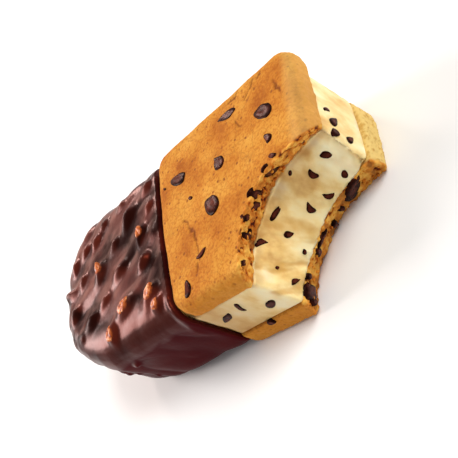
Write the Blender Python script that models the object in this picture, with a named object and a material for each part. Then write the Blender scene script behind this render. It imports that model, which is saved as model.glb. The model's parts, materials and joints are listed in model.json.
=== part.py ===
"""Ice cream sandwich, half coated in chocolate, with a bite out of one corner.

A block of vanilla ice cream with chocolate chips runs the whole length of the bar.  Two chocolate
chip cookies cover its half towards +X, and a coat of dark chocolate with almond covers its half
towards -X.  The coat ends where the cookies begin, along a joint that slants across the bar.  The
bite takes the corner at +X, -Y out of both cookies and the ice cream between them.

Units are metres and +Z is up.  The origin is under the middle of the bar, on the surface that the
bar lies on.
"""

import math

import bmesh
import bpy
from mathutils import Vector

MM = 0.001
GAP = 0.3 * MM

# The whole bar.
LENGTH = 108.6 * MM
WIDTH = 53.0 * MM
HEIGHT = 27.5 * MM
HALF_LENGTH = LENGTH / 2
HALF_WIDTH = WIDTH / 2

# The layers, from the bottom up.
BOTTOM_COOKIE_THICKNESS = 6.9 * MM
TOP_COOKIE_THICKNESS = 5.8 * MM
ICE_BOTTOM = BOTTOM_COOKIE_THICKNESS + GAP
ICE_TOP = HEIGHT - TOP_COOKIE_THICKNESS - GAP
ICE_INSET = 0.6 * MM

# The joint between coat and cookies, seen from above: it slants, and it bulges towards -X.
JOINT_X_AT_BACK = -2.7 * MM
JOINT_X_AT_FRONT = 7.4 * MM
JOINT_BULGE = 1.2 * MM
JOINT_RADIUS = 180 * MM

# Corner radii in plan and rim radii in section.
END_TAPER = 2.4 * MM
END_MIDDLE_Y = 3 * MM
END_BULGE_RADIUS = 90 * MM
TOP_END_RADIUS = 6.5 * MM
TOP_FRONT_RADIUS = 7 * MM
BOTTOM_END_TAPER = 1.0 * MM
BOTTOM_END_MIDDLE_Y = 9 * MM
BOTTOM_END_BULGE_RADIUS = 60 * MM
BOTTOM_END_RADIUS = 10.5 * MM
BOTTOM_BACK_TAPER = 4.8 * MM
BOTTOM_FRONT_RADIUS = 2.2 * MM
COOKIE_BACK_RADIUS = 4 * MM
COOKIE_TOP_RIM = 2.6 * MM
COOKIE_BOTTOM_RIM = 1.8 * MM
COOKIE_ICE_RIM = 0.7 * MM
ICE_END_RADIUS = 11.8 * MM
ICE_EDGE_RADIUS = 2 * MM
ICE_RIM = 0.5 * MM
COAT_BACK_RADIUS = 17 * MM
COAT_FRONT_RADIUS = 33 * MM
COAT_RIM = 5.8 * MM
COAT_THICKNESS = 2.0 * MM
CORE_RIM = 4.0 * MM
SHARP_RADIUS = 0.4 * MM
MIN_RADIUS = 0.3 * MM

# How far the ice cream's layer reaches into its core, and the hollow and the bite past an edge.
NECK_LENGTH = 12 * MM
HOLLOW_REACH = 10 * MM
CUT_MARGIN = 5 * MM

# The bite, as (height, depth along X, depth along Y, roundness) at the faces of the layers.
BITE_LEVELS = (
    (0.0, 26.6 * MM, 26.4 * MM, 2.0),
    (BOTTOM_COOKIE_THICKNESS, 24.5 * MM, 25.2 * MM, 1.6),
    (ICE_TOP + GAP, 25.0 * MM, 27.2 * MM, 2.1),
    (HEIGHT, 22.6 * MM, 22.2 * MM, 2.5),
)
BITE_SLICES = 4
BITE_POINTS = 40
BITE_REACH = 12 * MM
TOOTH_MARKS = 5
TOOTH_DEPTH = 0.03

ARC_STEPS = 9
RIM_STEPS = 5
SHARP_ANGLE = math.radians(38)

COOKIE_COLOUR = (0.60, 0.29, 0.085, 1)
ICE_COLOUR = (0.86, 0.74, 0.47, 1)
COAT_COLOUR = (0.047, 0.014, 0.008, 1)


def clear_scene():
    """Remove every object of the scene."""
    for item in list(bpy.data.objects):
        bpy.data.objects.remove(item)


def make_material(name, colour, roughness):
    """Return a Principled material of one colour."""
    material = bpy.data.materials.new(name)
    material.use_nodes = True
    shader = material.node_tree.nodes["Principled BSDF"]
    shader.inputs["Base Color"].default_value = colour
    shader.inputs["Roughness"].default_value = roughness
    shader.inputs["Metallic"].default_value = 0
    material.diffuse_color = colour
    return material


def inset_corners(corners, insets):
    """Move each edge of a polygon inwards and return the new corners.

    corners are (x, y, radius) and run anticlockwise.  insets has one distance for each edge, and
    edge i runs from corner i to the next.  The radii shrink with the insets beside them.
    """
    count = len(corners)
    lines = []
    for i, inset in enumerate(insets):
        start = Vector(corners[i][:2])
        along = (Vector(corners[(i + 1) % count][:2]) - start).normalized()
        inward = Vector((-along.y, along.x))
        lines.append((start + inward * inset, along))
    moved = []
    for i in range(count):
        point_a, along_a = lines[i - 1]
        point_b, along_b = lines[i]
        turn = along_a.cross(along_b)
        step = (point_b - point_a).cross(along_b) / turn
        corner = point_a + along_a * step
        radius = corners[i][2] - max(insets[i - 1], insets[i])
        moved.append((corner.x, corner.y, max(radius, MIN_RADIUS)))
    return moved


def round_outline(corners):
    """Return the outline of a polygon whose corners, (x, y, radius), are rounded by arcs."""
    outline = []
    count = len(corners)
    for i, (x, y, radius) in enumerate(corners):
        corner = Vector((x, y))
        before = (Vector(corners[i - 1][:2]) - corner).normalized()
        after = (Vector(corners[(i + 1) % count][:2]) - corner).normalized()
        half_angle = before.angle(after) / 2
        middle = (before + after).normalized()
        centre = corner + middle * (radius / math.sin(half_angle))
        first = corner + before * (radius / math.tan(half_angle)) - centre
        sweep = math.pi - 2 * half_angle
        turn = 1 if before.cross(after) < 0 else -1
        for step in range(ARC_STEPS + 1):
            angle = turn * sweep * step / ARC_STEPS
            cosine = math.cos(angle)
            sine = math.sin(angle)
            spoke = Vector((first.x * cosine - first.y * sine, first.x * sine + first.y * cosine))
            outline.append(centre + spoke)
    return outline


def rim_levels(bottom, top, bottom_rim, top_rim):
    """Return the (height, inset) levels of a slab with quarter-round rims."""
    lower = []
    upper = []
    for step in range(RIM_STEPS + 1):
        angle = math.pi / 2 * step / RIM_STEPS
        lower.append((bottom + bottom_rim * (1 - math.cos(angle)), bottom_rim * (1 - math.sin(angle))))
        upper.append((top - top_rim * (1 - math.sin(angle)), top_rim * (1 - math.cos(angle))))
    return lower + upper


def add_body(name, rings, material=None):
    """Join rings of equally many points, from the bottom up, into one closed object."""
    mesh = bpy.data.meshes.new(name)
    shape = bmesh.new()
    loops = [[shape.verts.new(point) for point in ring] for ring in rings]
    shape.faces.new(list(reversed(loops[0])))
    shape.faces.new(loops[-1])
    for lower, upper in zip(loops, loops[1:]):
        for i in range(len(lower)):
            j = (i + 1) % len(lower)
            shape.faces.new((lower[i], lower[j], upper[j], upper[i]))
    bmesh.ops.recalc_face_normals(shape, faces=shape.faces)
    shape.to_mesh(mesh)
    shape.free()
    item = bpy.data.objects.new(name, mesh)
    bpy.context.collection.objects.link(item)
    if material:
        mesh.materials.append(material)
    return item


def add_slab(name, corners, levels, open_edges=(), material=None):
    """Add a slab over a polygon.  Its rims round every edge but the open ones."""
    rings = []
    for height, inset in levels:
        insets = [0.0 if i in open_edges else inset for i in range(len(corners))]
        outline = round_outline(inset_corners(corners, insets))
        rings.append([(point.x, point.y, height) for point in outline])
    return add_body(name, rings, material)


def add_boolean(item, cutter, operation):
    """Join or cut an object with another, which is then only a guide."""
    modifier = item.modifiers.new(operation.title() + " " + cutter.name, "BOOLEAN")
    modifier.operation = operation
    modifier.solver = "EXACT"
    modifier.object = cutter
    cutter.hide_render = True
    cutter.display_type = "WIRE"


def shade_round(item):
    """Shade an object smooth, except across its sharp edges."""
    item.data.shade_smooth()
    item.data.set_sharp_from_angle(angle=SHARP_ANGLE)


def joint_corners(offset, front, back):
    """Return the three joint corners from back to front, moved along X by an offset."""
    slope = (JOINT_X_AT_FRONT - JOINT_X_AT_BACK) / WIDTH
    middle = (JOINT_X_AT_FRONT + JOINT_X_AT_BACK) / 2 - JOINT_BULGE
    return (
        (JOINT_X_AT_BACK + slope * (HALF_WIDTH - back) + offset, back),
        (middle + offset, 0.0),
        (JOINT_X_AT_FRONT - slope * (HALF_WIDTH - front) + offset, -front),
    )


def cookie_corners(end_middle, end_back, front_radius):
    """Return the plan corners of a whole cookie, given its end's middle and its back corner."""
    back, middle, front = joint_corners(0.0, HALF_WIDTH, HALF_WIDTH)
    return [
        (HALF_LENGTH, -HALF_WIDTH, end_back[2]),
        end_middle,
        end_back,
        (*back, COOKIE_BACK_RADIUS),
        (*middle, JOINT_RADIUS),
        (*front, front_radius),
    ]


def add_cookies(material):
    """Add both cookies, still whole."""
    levels = rim_levels(0.0, BOTTOM_COOKIE_THICKNESS, COOKIE_BOTTOM_RIM, COOKIE_ICE_RIM)
    end_middle = (HALF_LENGTH, BOTTOM_END_MIDDLE_Y, BOTTOM_END_BULGE_RADIUS)
    end_x = HALF_LENGTH - BOTTOM_END_TAPER
    end_back = (end_x, HALF_WIDTH - BOTTOM_BACK_TAPER, BOTTOM_END_RADIUS)
    corners = cookie_corners(end_middle, end_back, BOTTOM_FRONT_RADIUS)
    bottom = add_slab("cookie_bottom", corners, levels, (), material)
    levels = rim_levels(HEIGHT - TOP_COOKIE_THICKNESS, HEIGHT, COOKIE_ICE_RIM, COOKIE_TOP_RIM)
    end_middle = (HALF_LENGTH, END_MIDDLE_Y, END_BULGE_RADIUS)
    end_back = (HALF_LENGTH - END_TAPER, HALF_WIDTH, TOP_END_RADIUS)
    corners = cookie_corners(end_middle, end_back, TOP_FRONT_RADIUS)
    top = add_slab("cookie_top", corners, levels, (), material)
    return [bottom, top]


def coat_corners(inset, joint_offset):
    """Return the plan corners of the coated half, drawn in by a wall thickness."""
    side = HALF_WIDTH - inset
    back, middle, front = joint_corners(joint_offset, side, side)
    return [
        (*front, SHARP_RADIUS),
        (*middle, JOINT_RADIUS),
        (*back, SHARP_RADIUS),
        (inset - HALF_LENGTH, side, COAT_BACK_RADIUS - inset),
        (inset - HALF_LENGTH, -side, COAT_FRONT_RADIUS - inset),
    ]


COAT_JOINT_EDGES = (0, 1)


def add_coat(material):
    """Add the chocolate coat: a cap over the ice cream, open towards the cookies."""
    levels = rim_levels(0.0, HEIGHT, COAT_RIM, COAT_RIM)
    coat = add_slab("chocolate_coat", coat_corners(0.0, -GAP), levels, COAT_JOINT_EDGES, material)
    levels = rim_levels(COAT_THICKNESS, HEIGHT - COAT_THICKNESS, CORE_RIM, CORE_RIM)
    corners = coat_corners(COAT_THICKNESS, HOLLOW_REACH)
    hollow = add_slab("coat_hollow", corners, levels, COAT_JOINT_EDGES)
    add_boolean(coat, hollow, "DIFFERENCE")
    return coat


def add_ice_cream(material):
    """Add the ice cream: a layer between the cookies and a thicker core inside the coat."""
    side = HALF_WIDTH - ICE_INSET
    neck = HALF_WIDTH - COAT_THICKNESS - GAP
    end = HALF_LENGTH - ICE_INSET
    back, middle, front = joint_corners(0.0, side, side)
    neck_end = middle[0] - NECK_LENGTH
    corners = [
        (end, -side, ICE_END_RADIUS),
        (end, END_MIDDLE_Y, END_BULGE_RADIUS),
        (end - END_TAPER, side, ICE_END_RADIUS),
        (*back, ICE_EDGE_RADIUS),
        (back[0], neck, MIN_RADIUS),
        (neck_end, neck, ICE_EDGE_RADIUS),
        (neck_end, -neck, ICE_EDGE_RADIUS),
        (front[0], -neck, MIN_RADIUS),
        (*front, ICE_EDGE_RADIUS),
    ]
    levels = rim_levels(ICE_BOTTOM, ICE_TOP, ICE_RIM, ICE_RIM)
    layer = add_slab("ice_cream", corners, levels, (), material)
    wall = COAT_THICKNESS + GAP
    levels = rim_levels(wall, HEIGHT - wall, CORE_RIM, CORE_RIM)
    core = add_slab("ice_core", coat_corners(wall, -GAP), levels, COAT_JOINT_EDGES)
    add_boolean(layer, core, "UNION")
    return layer


def bite_size(height):
    """Return the bite's depth along X, depth along Y and roundness at a height."""
    heights = [level[0] for level in BITE_LEVELS]
    height = min(max(height, heights[0]), heights[-1])
    upper = next(i for i in range(1, len(heights)) if height <= heights[i])
    low = BITE_LEVELS[upper - 1]
    high = BITE_LEVELS[upper]
    share = (height - low[0]) / (high[0] - low[0])
    return [a + (b - a) * share for a, b in zip(low[1:], high[1:])]


def bite_ring(height):
    """Return the bite's outline at a height, out past the corner of the bar."""
    along_x, along_y, roundness = bite_size(height)
    ring = [(HALF_LENGTH + BITE_REACH, -HALF_WIDTH - BITE_REACH, height)]
    ring.append((HALF_LENGTH + BITE_REACH, along_y - HALF_WIDTH, height))
    for i in range(BITE_POINTS + 1):
        angle = math.pi / 2 * (1 - i / BITE_POINTS)
        mark = 1 + TOOTH_DEPTH * (abs(math.sin(TOOTH_MARKS * angle)) - 0.5) * math.sin(2 * angle)
        x = HALF_LENGTH - along_x * mark * math.cos(angle) ** (2 / roundness)
        y = along_y * mark * math.sin(angle) ** (2 / roundness) - HALF_WIDTH
        ring.append((x, y, height))
    ring.append((HALF_LENGTH - along_x, -HALF_WIDTH - BITE_REACH, height))
    return ring


def add_bite():
    """Add the cutter of the bite."""
    heights = [-CUT_MARGIN]
    for low, high in zip(BITE_LEVELS, BITE_LEVELS[1:]):
        for i in range(BITE_SLICES):
            heights.append(low[0] + (high[0] - low[0]) * i / BITE_SLICES)
    heights += [HEIGHT, HEIGHT + CUT_MARGIN]
    return add_body("bite", [bite_ring(height) for height in heights])


def main():
    """Build the bar."""
    clear_scene()
    cookie = make_material("baked_cookie", COOKIE_COLOUR, 0.8)
    ice = make_material("vanilla_ice_cream", ICE_COLOUR, 0.5)
    coat = make_material("dark_chocolate", COAT_COLOUR, 0.25)
    bitten = add_cookies(cookie)
    bitten.append(add_ice_cream(ice))
    bite = add_bite()
    for item in bitten:
        add_boolean(item, bite, "DIFFERENCE")
    for item in [*bitten, add_coat(coat)]:
        shade_round(item)


main()
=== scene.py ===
"""Ice cream sandwich, half coated in chocolate, with a bite out of one corner: its looks.

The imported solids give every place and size.  Each of them is dressed by a piece of its own: the
two chocolate chip cookies, the vanilla ice cream between them, and the dark chocolate coat over
the other half.  Chips, almond pieces and crumbs are small pieces set into those.
"""

import json
import logging
import math
import random
from dataclasses import dataclass, field
from enum import Enum
from typing import Any, Sequence

import bpy
import numpy as np
from mathutils import Matrix, Quaternion, Vector, noise

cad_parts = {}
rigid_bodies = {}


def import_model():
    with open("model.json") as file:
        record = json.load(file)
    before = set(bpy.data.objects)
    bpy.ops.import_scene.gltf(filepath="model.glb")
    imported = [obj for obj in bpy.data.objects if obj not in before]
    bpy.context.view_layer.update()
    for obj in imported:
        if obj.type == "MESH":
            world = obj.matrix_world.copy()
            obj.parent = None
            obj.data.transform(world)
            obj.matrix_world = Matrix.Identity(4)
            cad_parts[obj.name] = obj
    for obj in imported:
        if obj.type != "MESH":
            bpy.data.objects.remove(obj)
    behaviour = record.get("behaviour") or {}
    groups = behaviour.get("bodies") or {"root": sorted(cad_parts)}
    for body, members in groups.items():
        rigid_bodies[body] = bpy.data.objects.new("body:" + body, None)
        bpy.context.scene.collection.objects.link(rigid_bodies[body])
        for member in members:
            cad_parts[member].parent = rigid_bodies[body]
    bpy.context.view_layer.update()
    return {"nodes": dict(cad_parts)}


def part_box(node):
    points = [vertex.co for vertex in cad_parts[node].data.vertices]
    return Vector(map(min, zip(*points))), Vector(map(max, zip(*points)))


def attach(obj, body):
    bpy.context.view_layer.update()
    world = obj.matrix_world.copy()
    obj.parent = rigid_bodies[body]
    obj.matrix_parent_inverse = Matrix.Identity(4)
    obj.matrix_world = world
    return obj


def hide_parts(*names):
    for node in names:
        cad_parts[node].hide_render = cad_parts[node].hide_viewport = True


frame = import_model()

MM = 0.001
BODY = "root"
log = logging.getLogger("ice_cream_sandwich")


# ---------------------------------------------------------------------------
# Colours and nodes
# ---------------------------------------------------------------------------


def linear(code: str) -> tuple[float, float, float, float]:
    """Turn an sRGB hex colour into linear RGBA.

    Args:
        code: The colour, such as "#DE9144".

    Returns:
        The linear colour, with an alpha of 1.
    """
    channels = [int(code[i : i + 2], 16) / 255 for i in (1, 3, 5)]
    light = [c / 12.92 if c <= 0.04045 else ((c + 0.055) / 1.055) ** 2.4 for c in channels]
    return (*light, 1.0)


def add_node(
    tree: bpy.types.NodeTree,
    kind: str,
    inputs: dict[Any, Any] | None = None,
    stops: Sequence[tuple[float, str]] = (),
    **settings: Any,
) -> bpy.types.Node:
    """Add a shader node with its settings and links.

    Args:
        tree: The node tree.
        kind: The node's class, such as "ShaderNodeTexNoise".
        inputs: A value, or a socket to link from, for each input by name or number.
        stops: A colour ramp's stops, as (position, sRGB hex colour).
        **settings: Properties of the node.

    Returns:
        The new node.
    """
    node = tree.nodes.new(kind)
    for name, value in settings.items():
        setattr(node, name, value)
    for i, (position, code) in enumerate(stops):
        elements = node.color_ramp.elements
        element = elements[i] if i < 2 else elements.new(position)
        element.position = position
        element.color = linear(code)
    for name, value in (inputs or {}).items():
        if isinstance(value, bpy.types.NodeSocket):
            tree.links.new(value, node.inputs[name])
        else:
            node.inputs[name].default_value = value
    return node


# ---------------------------------------------------------------------------
# Modelling by hand
# ---------------------------------------------------------------------------


def select_only(*items: bpy.types.Object) -> None:
    """Select these objects alone and make the last of them active."""
    bpy.ops.object.select_all(action="DESELECT")
    for item in items:
        item.select_set(True)
    bpy.context.view_layer.objects.active = items[-1]


def apply_modifiers(item: bpy.types.Object) -> None:
    """Apply all of an object's modifiers, in order."""
    select_only(item)
    for modifier in list(item.modifiers):
        bpy.ops.object.modifier_apply(modifier=modifier.name)


def copy_of_solid(node: str, name: str) -> bpy.types.Object:
    """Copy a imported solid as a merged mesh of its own.

    Args:
        node: The solid's node.
        name: The copy's name.

    Returns:
        The copy, which belongs to nothing yet.
    """
    select_only(frame["nodes"][node])
    bpy.ops.object.duplicate()
    item = bpy.context.active_object
    bpy.ops.object.parent_clear(type="CLEAR_KEEP_TRANSFORM")
    for key in list(item.keys()):
        if key.startswith("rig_"):
            del item[key]
    item.name = name
    item.data.name = name
    item.data.materials.clear()
    bpy.ops.object.mode_set(mode="EDIT")
    bpy.ops.mesh.select_all(action="SELECT")
    bpy.ops.mesh.remove_doubles(threshold=0.001 * MM)
    bpy.ops.object.mode_set(mode="OBJECT")
    return item


def join(items: Sequence[bpy.types.Object], name: str) -> bpy.types.Object:
    """Join objects into one.

    Args:
        items: The objects.
        name: The name of the whole.

    Returns:
        The joined object.
    """
    select_only(*items)
    bpy.ops.object.join()
    whole = bpy.context.active_object
    whole.name = name
    whole.data.name = name
    return whole


def remesh(item: bpy.types.Object, fineness: float, smoothing: int = 0) -> None:
    """Make an object's surface even and fine enough to carve, then smooth it.

    Args:
        item: The object.
        fineness: The size of its new faces, in metres.
        smoothing: How often the new surface is smoothed.
    """
    modifier = item.modifiers.new("Even faces", "REMESH")
    modifier.mode = "VOXEL"
    modifier.voxel_size = fineness
    if smoothing:
        modifier = item.modifiers.new("Soften", "SMOOTH")
        modifier.factor = 0.5
        modifier.iterations = smoothing
    apply_modifiers(item)
    item.data.shade_smooth()


def points_of(item: bpy.types.Object) -> np.ndarray:
    """Return the points of a mesh, one row each."""
    flat = np.empty(len(item.data.vertices) * 3, np.float32)
    item.data.vertices.foreach_get("co", flat)
    return flat.reshape(-1, 3).astype(float)


def normals_of(item: bpy.types.Object) -> np.ndarray:
    """Return the normals at the points of a mesh, one row each."""
    flat = np.empty(len(item.data.vertices) * 3, np.float32)
    item.data.vertex_normals.foreach_get("vector", flat)
    return flat.reshape(-1, 3).astype(float)


def set_points(item: bpy.types.Object, points: np.ndarray) -> None:
    """Move the points of a mesh, keeping them on or above the table."""
    points[:, 2] = np.maximum(points[:, 2], 0.0)
    item.data.vertices.foreach_set("co", points.astype(np.float32).ravel())
    item.data.update()


def raise_surface(item: bpy.types.Object, heights: np.ndarray) -> None:
    """Move each point of a mesh along its normal by its own height."""
    set_points(item, points_of(item) + normals_of(item) * heights[:, None])


def ramp(values: np.ndarray, low: float, high: float) -> np.ndarray:
    """Return a smooth step from 0 at low to 1 at high, for each value."""
    share = np.clip((values - low) / (high - low), 0.0, 1.0)
    return share * share * (3 - 2 * share)


def rough(points: np.ndarray, grain: Sequence[float], octaves: int, seed: float) -> np.ndarray:
    """Return a cloudy noise at each point.

    Args:
        points: The points, one row each.
        grain: The size of the noise's lumps along X, Y and Z, in metres.
        octaves: How many finer layers it has.
        seed: Where in the noise it starts.

    Returns:
        The noise, from about -1 to 1.
    """
    places = points / np.array(grain) + seed
    return np.array([noise.fractal(place, 0.9, 2.1, octaves) for place in places.tolist()])


def clumps(points: np.ndarray, grain: float, seed: float) -> np.ndarray:
    """Return rounded clumps with sharp creases between them, from about -0.5 to 0.5."""
    places = points / grain + seed
    basis = "VORONOI_F1"
    return np.array([0.5 - noise.noise(place, noise_basis=basis) for place in places.tolist()])


def seat(item: bpy.types.Object, guess: Vector) -> tuple[Vector, Vector]:
    """Find where a piece sits on a body.

    Args:
        item: The body.
        guess: A place near its surface.

    Returns:
        The nearest place on the surface, and the way that the surface faces there.
    """
    bpy.context.view_layer.update()
    _, place, normal, _ = item.closest_point_on_mesh(guess)
    return place, normal


def store(item: bpy.types.Object, name: str, values: np.ndarray) -> None:
    """Keep a number for each point of a mesh, for its material to read."""
    attribute = item.data.attributes.new(name, "FLOAT", "POINT")
    attribute.data.foreach_set("value", values.astype(np.float32))


def frame_on(normal: Vector, turn: float) -> Matrix:
    """Return the rotation that stands a piece on a surface.

    Args:
        normal: The way the surface faces, which becomes the piece's Z.
        turn: How far the piece's X is turned about it, in degrees.

    Returns:
        The rotation, as a 4 by 4 matrix.
    """
    base = normal.to_track_quat("Z", "Y")
    spin = Quaternion(normal, math.radians(turn))
    return (spin @ base).to_matrix().to_4x4()


# ---------------------------------------------------------------------------
# The bite
# ---------------------------------------------------------------------------


@dataclass(frozen=True)
class Bite:
    """The bite out of the corner at +X, -Y, as deep at each height as in the solids.

    At one height its outline is a rounded quarter, measured from the missing corner.
    """

    corner: tuple[float, float]
    heights: tuple[float, ...]
    along_x: tuple[float, ...] = (26.6 * MM, 24.5 * MM, 25.0 * MM, 22.6 * MM)
    along_y: tuple[float, ...] = (26.4 * MM, 25.2 * MM, 27.2 * MM, 22.2 * MM)
    roundness: tuple[float, ...] = (2.0, 1.6, 2.1, 2.5)

    def clearance(self, points: np.ndarray) -> np.ndarray:
        """Return how far each point lies behind the bite's surface, in metres."""
        height = points[:, 2]
        power = np.interp(height, self.heights, self.roundness)
        across = np.maximum(self.corner[0] - points[:, 0], 0.01 * MM)
        along = np.maximum(points[:, 1] - self.corner[1], 0.01 * MM)
        x_share = across / np.interp(height, self.heights, self.along_x)
        y_share = along / np.interp(height, self.heights, self.along_y)
        reach = (x_share**power + y_share**power) ** (1 / power)
        return np.hypot(across, along) * (1 - 1 / reach)

    def bearing(self, points: np.ndarray) -> np.ndarray:
        """Return each point's bearing round the missing corner, 0 along -X and 90 along +Y."""
        across = self.corner[0] - points[:, 0]
        along = points[:, 1] - self.corner[1]
        return np.degrees(np.arctan2(along, across))

    def place(self, bearing: float, height: float) -> Vector:
        """Return the point of the bite's surface at a bearing and a height."""
        angle = math.radians(bearing)
        power = float(np.interp(height, self.heights, self.roundness))
        x_share = math.cos(angle) / float(np.interp(height, self.heights, self.along_x))
        y_share = math.sin(angle) / float(np.interp(height, self.heights, self.along_y))
        reach = 1 / (x_share**power + y_share**power) ** (1 / power)
        x = self.corner[0] - reach * math.cos(angle)
        y = self.corner[1] + reach * math.sin(angle)
        return Vector((x, y, height))

    def facing(self, bearing: float, height: float) -> Vector:
        """Return the way the bite's surface faces at a bearing and a height."""
        step = 1.5
        low = height - 0.5 * MM
        sideways = self.place(min(bearing + step, 90), height) - self.place(max(bearing - step, 0), height)
        upwards = self.place(bearing, height + 0.5 * MM) - self.place(bearing, low)
        normal = sideways.cross(upwards).normalized()
        return normal if normal.x - normal.y > 0 else -normal


# ---------------------------------------------------------------------------
# Finishes
# ---------------------------------------------------------------------------


@dataclass(frozen=True)
class Finish:
    """What every finish has: a name, a roughness and an index of refraction."""

    name: str
    roughness: float
    ior: float

    def start(self) -> tuple[bpy.types.Material, bpy.types.NodeTree, bpy.types.Node, Any]:
        """Begin a material.

        Returns:
            The material, its node tree, its Principled shader and its Object coordinates.
        """
        material = bpy.data.materials.new(self.name)
        material.use_nodes = True
        tree = material.node_tree
        shader = tree.nodes["Principled BSDF"]
        shader.inputs["Roughness"].default_value = self.roughness
        shader.inputs["IOR"].default_value = self.ior
        place = add_node(tree, "ShaderNodeTexCoord").outputs["Object"]
        return material, tree, shader, place

    def make(self) -> bpy.types.Material:
        """Return the finished material."""
        raise NotImplementedError


@dataclass(frozen=True)
class BakedCookie(Finish):
    """Baked cookie dough: dry, matt and golden, freckled and finely cracked, browner at its rim.

    Where it is bitten, the open crumb is coarser and yellower, with painted shade in the pits between its
    clumps.
    """

    name: str = "baked_cookie_finish"
    roughness: float = 0.8
    ior: float = 1.45
    patch: float = 10 * MM
    wrinkle: float = 4 * MM
    speckle: float = 0.7 * MM
    freckle: float = 2.6 * MM
    crumb: float = 1.2 * MM

    def tint(self, tree: bpy.types.NodeTree, name: str, share: float, under: Any, code: str) -> Any:
        """Blend a colour in where the mesh's attribute says so.

        Args:
            tree: The node tree.
            name: The attribute.
            share: How strongly it counts.
            under: The colour underneath.
            code: The colour, as sRGB hex.

        Returns:
            The blended colour's socket.
        """
        mark = add_node(tree, "ShaderNodeAttribute", attribute_name=name)
        amount = add_node(
            tree, "ShaderNodeMath", {0: mark.outputs["Fac"], 1: share}, operation="MULTIPLY"
        )
        blend = add_node(
            tree,
            "ShaderNodeMix",
            {0: amount.outputs["Value"], 6: under, 7: linear(code)},
            data_type="RGBA",
        )
        return blend.outputs[2]

    def crust(self, tree: bpy.types.NodeTree, place: Any) -> tuple[Any, Any]:
        """Return the crust's colour and the height of its grain."""
        patches = add_node(
            tree, "ShaderNodeTexNoise", {"Vector": place, "Scale": 1 / self.patch, "Detail": 6.0}
        )
        tone = add_node(
            tree,
            "ShaderNodeValToRGB",
            {"Fac": patches.outputs["Fac"]},
            stops=((0.30, "#9E5615"), (0.43, "#BC7726"), (0.57, "#CA8B34"), (0.72, "#D39B42")),
        )
        specks = add_node(
            tree, "ShaderNodeTexNoise", {"Vector": place, "Scale": 1 / self.speckle, "Detail": 4.0}
        )
        grain = add_node(
            tree,
            "ShaderNodeValToRGB",
            {"Fac": specks.outputs["Fac"]},
            stops=((0.30, "#9A5A26"), (0.42, "#DDA86C"), (0.54, "#FFFFFF"), (0.74, "#FFF4D8")),
        )
        tone = add_node(
            tree,
            "ShaderNodeMix",
            {0: 0.45, 6: tone.outputs["Color"], 7: grain.outputs["Color"]},
            data_type="RGBA",
            blend_type="MULTIPLY",
        )
        dots = add_node(
            tree, "ShaderNodeTexVoronoi", {"Vector": place, "Scale": 1 / self.freckle}
        )
        ragged = add_node(
            tree,
            "ShaderNodeMath",
            {0: specks.outputs["Fac"], 1: -0.35, 2: dots.outputs["Distance"]},
            operation="MULTIPLY_ADD",
        )
        freckles = add_node(
            tree,
            "ShaderNodeMapRange",
            {"Value": ragged.outputs["Value"], "From Min": 0.0, "From Max": -0.09},
        )
        tone = add_node(
            tree,
            "ShaderNodeMix",
            {0: freckles.outputs["Result"], 6: tone.outputs[2], 7: linear("#8C4E1E")},
            data_type="RGBA",
        )
        # The skin wrinkles in fine broken lines as the dough sinks after baking; the lines are painted dark
        # brown as painted shade in creases, with no relief of their own.
        drawn = add_node(
            tree,
            "ShaderNodeMix",
            {0: 3 * MM, 6: place, 7: patches.outputs["Color"]},
            data_type="RGBA",
            blend_type="LINEAR_LIGHT",
        )
        folds = add_node(
            tree,
            "ShaderNodeTexVoronoi",
            {"Vector": drawn.outputs[2], "Scale": 1 / self.wrinkle},
            feature="DISTANCE_TO_EDGE",
        )
        lines = add_node(
            tree,
            "ShaderNodeMapRange",
            {"Value": folds.outputs["Distance"], "From Min": 0.05, "From Max": 0.0},
        )
        broken = add_node(
            tree,
            "ShaderNodeMapRange",
            {"Value": specks.outputs["Fac"], "From Min": 0.44, "From Max": 0.60, "To Max": 0.6},
        )
        wrinkles = add_node(
            tree,
            "ShaderNodeMath",
            {0: lines.outputs["Result"], 1: broken.outputs["Result"]},
            operation="MULTIPLY",
        )
        tone = add_node(
            tree,
            "ShaderNodeMix",
            {0: wrinkles.outputs["Value"], 6: tone.outputs[2], 7: linear("#8A4A1A")},
            data_type="RGBA",
        )
        colour = self.tint(tree, "rim", 0.5, tone.outputs[2], "#D2862A")
        # Painted light: the end towards +X, where the key light falls, is painted paler.
        colour = self.tint(tree, "pale", 1.0, colour, "#E6C87A")
        colour = self.tint(tree, "speckled", 0.8, colour, "#B88430")
        # Painted shade: the cracks are painted dark brown.
        colour = self.tint(tree, "crack", 0.85, colour, "#6E3514")
        height = add_node(
            tree,
            "ShaderNodeMath",
            {0: freckles.outputs["Result"], 1: -0.6, 2: specks.outputs["Fac"]},
            operation="MULTIPLY_ADD",
        )
        return colour, height.outputs["Value"]

    def open_crumb(self, tree: bpy.types.NodeTree, place: Any) -> Any:
        """Return the colour of the bitten crumb."""
        cells = add_node(
            tree, "ShaderNodeTexVoronoi", {"Vector": place, "Scale": 1 / self.crumb}
        )
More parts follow.
